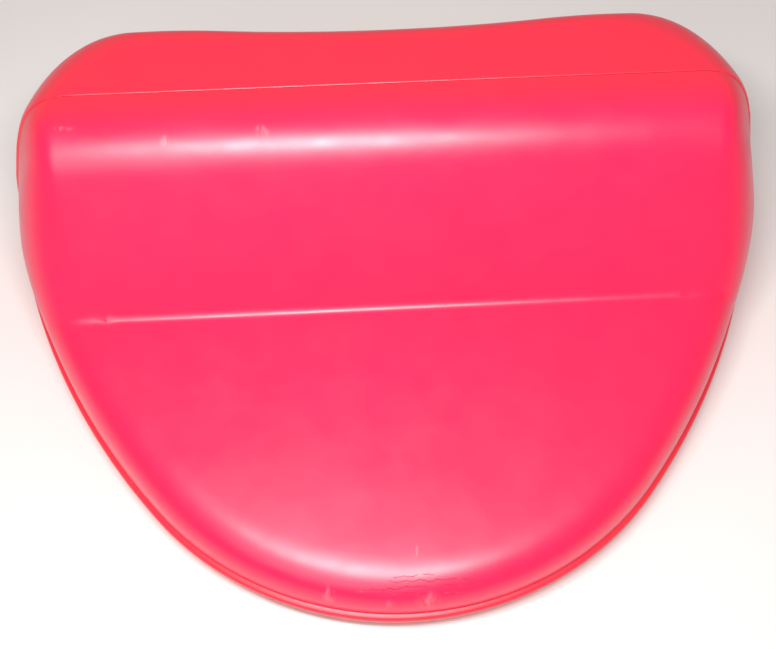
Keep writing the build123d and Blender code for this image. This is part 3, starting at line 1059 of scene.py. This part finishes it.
def forearm_strap():
    """Strap: sewn eye on the far bar, taut run, fold round the near bar and free tail."""
    path = line((FAR_FOLD - STRAP_UNDER, TAIL_Z), (FAR_FOLD, TAIL_Z))
    path += fold(FAR_FOLD, 1, 180, 0)
    path += line((FAR_FOLD, RUN_Z), (NEAR_FOLD, RUN_Z))[1:]
    path += fold(NEAR_FOLD, -1, 0, 6, 1)
    run = band("strap_run", STRAP_X, STRAP_HALF, path)
    wear(run, WEBBING_BLACK)
    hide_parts("strap_web")
    bend = band("strap_fold", STRAP_X, STRAP_HALF, fold(NEAR_FOLD, -1, -3, 183, 30))
    bend.data.materials.append(WEBBING_BLACK)
    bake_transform(bend)
    end = tail_high.y
    tail_path = line((NEAR_FOLD, TAIL_Z), (end - 1.2, TAIL_Z))
    tail_path += [(end - 1.2, TAIL_Z), (end - 0.3, TAIL_Z), (end, TAIL_Z)]
    tail = band("strap_end", STRAP_X, STRAP_HALF, tail_path, True)
    wear(tail, WEBBING_BLACK, "strap_tail")
    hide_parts("strap_tail")
    far = FAR_FOLD - STITCH_FROM_FOLD
    sewn = box_and_cross(STRAP_X, STRAP_HALF - STITCH_INSET, FAR_FOLD - STRAP_UNDER + STITCH_FROM_END, far)
    below = stitches("strap_eye_stitches", sewn, TAIL_Z - WEB_THICK / 2)
    wear(below, THREAD)
    a, b = hook_low.x + TACK_INSET, hook_high.x - TACK_INSET
    c, d = hook_low.y + TACK_INSET, hook_high.y - TACK_INSET
    runs = [((a, c), (b, c)), ((b, c), (b, d)), ((b, d), (a, d)), ((a, d), (a, c))]
    tacked = stitches("tail_stitches", runs, TAIL_Z - WEB_THICK / 2)
    wear(tacked, THREAD, "strap_tail")


HOOK_PITCH = 1.7
HOOK_INSET = 1.9
HOOK_RADIUS = 0.28
HOOK_LEAN = 0.35
HOOK_SIDES = 5


def tapes():
    """Loop tape on the strap and hook tape on the tail."""
    low, high = loop_low, loop_high
    levels = [(0, high.z), (0, low.z + 0.8), (0.4, low.z + 0.25), (1.2, low.z + 0.05), (3.0, low.z)]
    item = slab("loop_pile_tape", (low.x, high.x, low.y, high.y), 1.5, levels)
    wear(item, LOOP_PILE)
    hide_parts("loop_tape")
    low, high = hook_low, hook_high
    base = low.z + 0.55
    levels = [(0, low.z), (0, base - 0.15), (0.2, base)]
    sheet = slab("hook_tape_base", (low.x, high.x, low.y, high.y), 1.5, levels)
    wear(sheet, HOOK_PLASTIC, "strap_tail")
    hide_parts("hook_tape")
    points, faces = [], []
    for i in range(int((high.x - low.x - 3) / HOOK_PITCH)):
        for j in range(int((high.y - low.y - 3) / HOOK_PITCH)):
            x = low.x + HOOK_INSET + i * HOOK_PITCH
            y = low.y + HOOK_INSET + j * HOOK_PITCH
            lean = HOOK_LEAN if (i + j) % 2 else -HOOK_LEAN
            rings = ((base - 0.1, 0, 1.2), (high.z - 0.35, 0, 0.7), (high.z - 0.08, lean, 0.9))
            first = len(points)
            for z, shift, wide in rings:
                for k in range(HOOK_SIDES):
                    a = 2 * math.pi * k / HOOK_SIDES
                    reach = HOOK_RADIUS * wide
                    points.append((x + shift + reach * math.cos(a), y + reach * math.sin(a), z))
            for face in ring_faces(len(rings), HOOK_SIDES):
                faces.append(tuple(first + v for v in face))
            top = first + (len(rings) - 1) * HOOK_SIDES
            faces.append(tuple(top + k for k in range(HOOK_SIDES)))
            faces.append(tuple(first + k for k in reversed(range(HOOK_SIDES))))
    hooks = new_mesh("hooks", points, faces)
    wear(hooks, HOOK_PLASTIC, "strap_tail")


def superellipse(half_x, half_z, power, steps=36):
    points = []
    for k in range(steps):
        a = 2 * math.pi * k / steps
        c, s = math.cos(a), math.sin(a)
        x = half_x * math.copysign(abs(c) ** (2 / power), c)
        z = half_z * math.copysign(abs(s) ** (2 / power), s)
        points.append((x, z))
    return points


CORE_RADIUS = 7.0


def grip():
    """Grip webbing: an eye on each bar that gathers into the roll inside the sleeve."""
    near_edge = grip_low.y + FOLD_RADIUS + WEB_THICK / 2
    far_edge = grip_high.y - FOLD_RADIUS - WEB_THICK / 2
    bar_width = bar_high.y - bar_low.y
    sections = []
    near_end = (near_edge, -1, near_edge + bar_width, sleeve_low.y)
    far_end = (far_edge, 1, far_edge - bar_width, sleeve_high.y)
    for edge, side, bar_inside, mouth in (near_end, far_end):
        tag = "near" if side < 0 else "far"
        path = line((edge - side * GRIP_UNDER, TAIL_Z), (edge, TAIL_Z))
        path += fold(edge, side, 180, 0)
        path += line((edge, RUN_Z), (bar_inside - side * 0.6, RUN_Z), 1.5)[1:]
        path.append((bar_inside - side * 0.6, RUN_Z))
        eye = band("grip_eye_" + tag, GRIP_X, GRIP_HALF, path)
        wear(eye, WEBBING_BLACK)
        columns = [GRIP_X - 9 + 3 * k for k in range(7)]
        sewn = [((x, edge - side * 2.5), (x, edge - side * 8.5)) for x in columns]
        tack = stitches("grip_tack_" + tag, sewn, TAIL_Z - WEB_THICK / 2)
        wear(tack, THREAD)
        reach = mouth - side * 3 - bar_inside
        for share in (0.0, 0.2, 0.4, 0.6, 0.8, 1.0):
            t = smooth(share, 0, 1)
            sections.append(
                (
                    bar_inside + reach * share,
                    RUN_Z + (GRIP_Z - RUN_Z) * t,
                    GRIP_HALF + (CORE_RADIUS - GRIP_HALF) * t,
                    WEB_THICK / 2 + (CORE_RADIUS - WEB_THICK / 2) * t,
                    4 - 2 * t,
                )
            )
    sections.sort()
    points = []
    for y, z, half_x, half_z, power in sections:
        ring = superellipse(half_x, half_z, power)
        points += [(GRIP_X + u, y, z + w) for u, w in ring]
    roll = outward(new_mesh("grip_roll", points, closed_faces(len(sections), len(ring))))
    wear(roll, WEBBING_BLACK)
    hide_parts("grip_web")


COLLAR = 5.0
RIB_DEPTH = 1.0
RIB_PITCH = 4.0
SLEEVE_BORE = 7.25
SLEEVE_SIDES = 96
SLEEVE_STEPS = 170
SLEEVE_EDGE = 2
MOULD_LINE = 0.22


def sleeve():
    """Ribbed rubber sleeve with plain collars and two fine mould lines."""
    length = sleeve_high.y - sleeve_low.y
    middle = (sleeve_low.y + sleeve_high.y) / 2
    half = length / 2
    outer = []
    for i in range(SLEEVE_STEPS + 1):
        at = -half + length * i / SLEEVE_STEPS
        depth = 0.0
        if abs(at) < half - COLLAR:
            wave = abs(math.sin(math.pi * at / RIB_PITCH))
            depth = RIB_DEPTH * (1 - wave**0.6)
        to_end = half - abs(at)
        if to_end < SLEEVE_EDGE:
            depth += SLEEVE_EDGE - math.sqrt(SLEEVE_EDGE**2 - (SLEEVE_EDGE - to_end) ** 2)
        outer.append((at, SLEEVE_RADIUS - depth))
    mouth = ((half - 0.3, SLEEVE_BORE + 0.4), (half - 1.0, SLEEVE_BORE))
    shape = outer + list(mouth) + [(-at, radius) for at, radius in reversed(mouth)]
    points, faces = [], []
    for k in range(SLEEVE_SIDES):
        a = 2 * math.pi * k / SLEEVE_SIDES
        seam = MOULD_LINE if k % (SLEEVE_SIDES // 2) == 0 else 0.0
        for at, radius in shape:
            r = radius - seam if radius > SLEEVE_BORE + 1 else radius
            points.append((GRIP_X + r * math.cos(a), middle + at, GRIP_Z + r * math.sin(a)))
    size = len(shape)
    for k in range(SLEEVE_SIDES):
        n = (k + 1) % SLEEVE_SIDES
        for i in range(size):
            m = (i + 1) % size
            faces.append((k * size + i, k * size + m, n * size + m, n * size + i))
    item = outward(new_mesh("grip_sleeve_ribbed", points, faces))
    wear(item, GRIP_RUBBER, "grip_sleeve")
    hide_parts("grip_sleeve")


forearm_strap()
tapes()
grip()
sleeve()

# ---------------------------------------------------------------- floor, light and camera


FLOOR_SIZE = 6
FLOOR_DROP = 0.0002


def floor():
    """Plain pale floor."""
    bpy.ops.mesh.primitive_plane_add(size=FLOOR_SIZE, location=(0, 0, -FLOOR_DROP))
    plane = bpy.context.object
    plane.name = "floor"
    n = Nodes("floor_finish", (0.80, 0.765, 0.74), 0.7)
    plane.data.materials.append(n.material)


def area_light(name, place, target, width, height, power):
    """Rectangular lamp at a place, aimed at the target, in metres and watts."""
    data = bpy.data.lights.new(name, "AREA")
    data.shape = "RECTANGLE"
    data.size = width
    data.size_y = height
    data.energy = power
    lamp = bpy.data.objects.new(name, data)
    bpy.context.scene.collection.objects.link(lamp)
    lamp.location = place
    aim = Vector(target) - Vector(place)
    lamp.rotation_euler = aim.to_track_quat("-Z", "Y").to_euler()
    lamp.visible_camera = False
    return lamp


CAMERA_PLACE = Vector((-0.0168, -0.2626, 0.4884))
CAMERA_VIEW = Vector((0.0259, 0.5084, -0.8607))
CAMERA_ROLL = math.radians(-0.1)
CAMERA_LENS = 54.75


def camera():
    """Camera above and in front of the tip, looking down at the strike side."""
    data = bpy.data.cameras.new("camera")
    data.sensor_width = 36
    data.lens = CAMERA_LENS
    item = bpy.data.objects.new("camera", data)
    bpy.context.scene.collection.objects.link(item)
    item.location = CAMERA_PLACE
    turn = CAMERA_VIEW.to_track_quat("-Z", "Y").to_matrix().to_4x4()
    item.rotation_euler = (turn @ Matrix.Rotation(CAMERA_ROLL, 4, "Z")).to_euler()
    bpy.context.scene.camera = item
    return item


WORLD_STRENGTH = 0.38


def world():
    """Even pale surroundings."""
    scene = bpy.context.scene
    scene.world = bpy.data.worlds.new("surroundings")
    scene.world.use_nodes = True
    back = scene.world.node_tree.nodes["Background"]
    back.inputs["Color"].default_value = (1.0, 0.98, 0.96, 1)
    back.inputs["Strength"].default_value = WORLD_STRENGTH
    scene.view_settings.view_transform = "Standard"


floor()
world()
camera()
area_light("key", (-0.042, -0.205, 0.525), (0.0, -0.01, 0.05), 0.24, 0.035, 2.9)
area_light("fill", (-0.4, -0.9, 1.2), (0, 0, 0), 0.9, 0.9, 6.0)
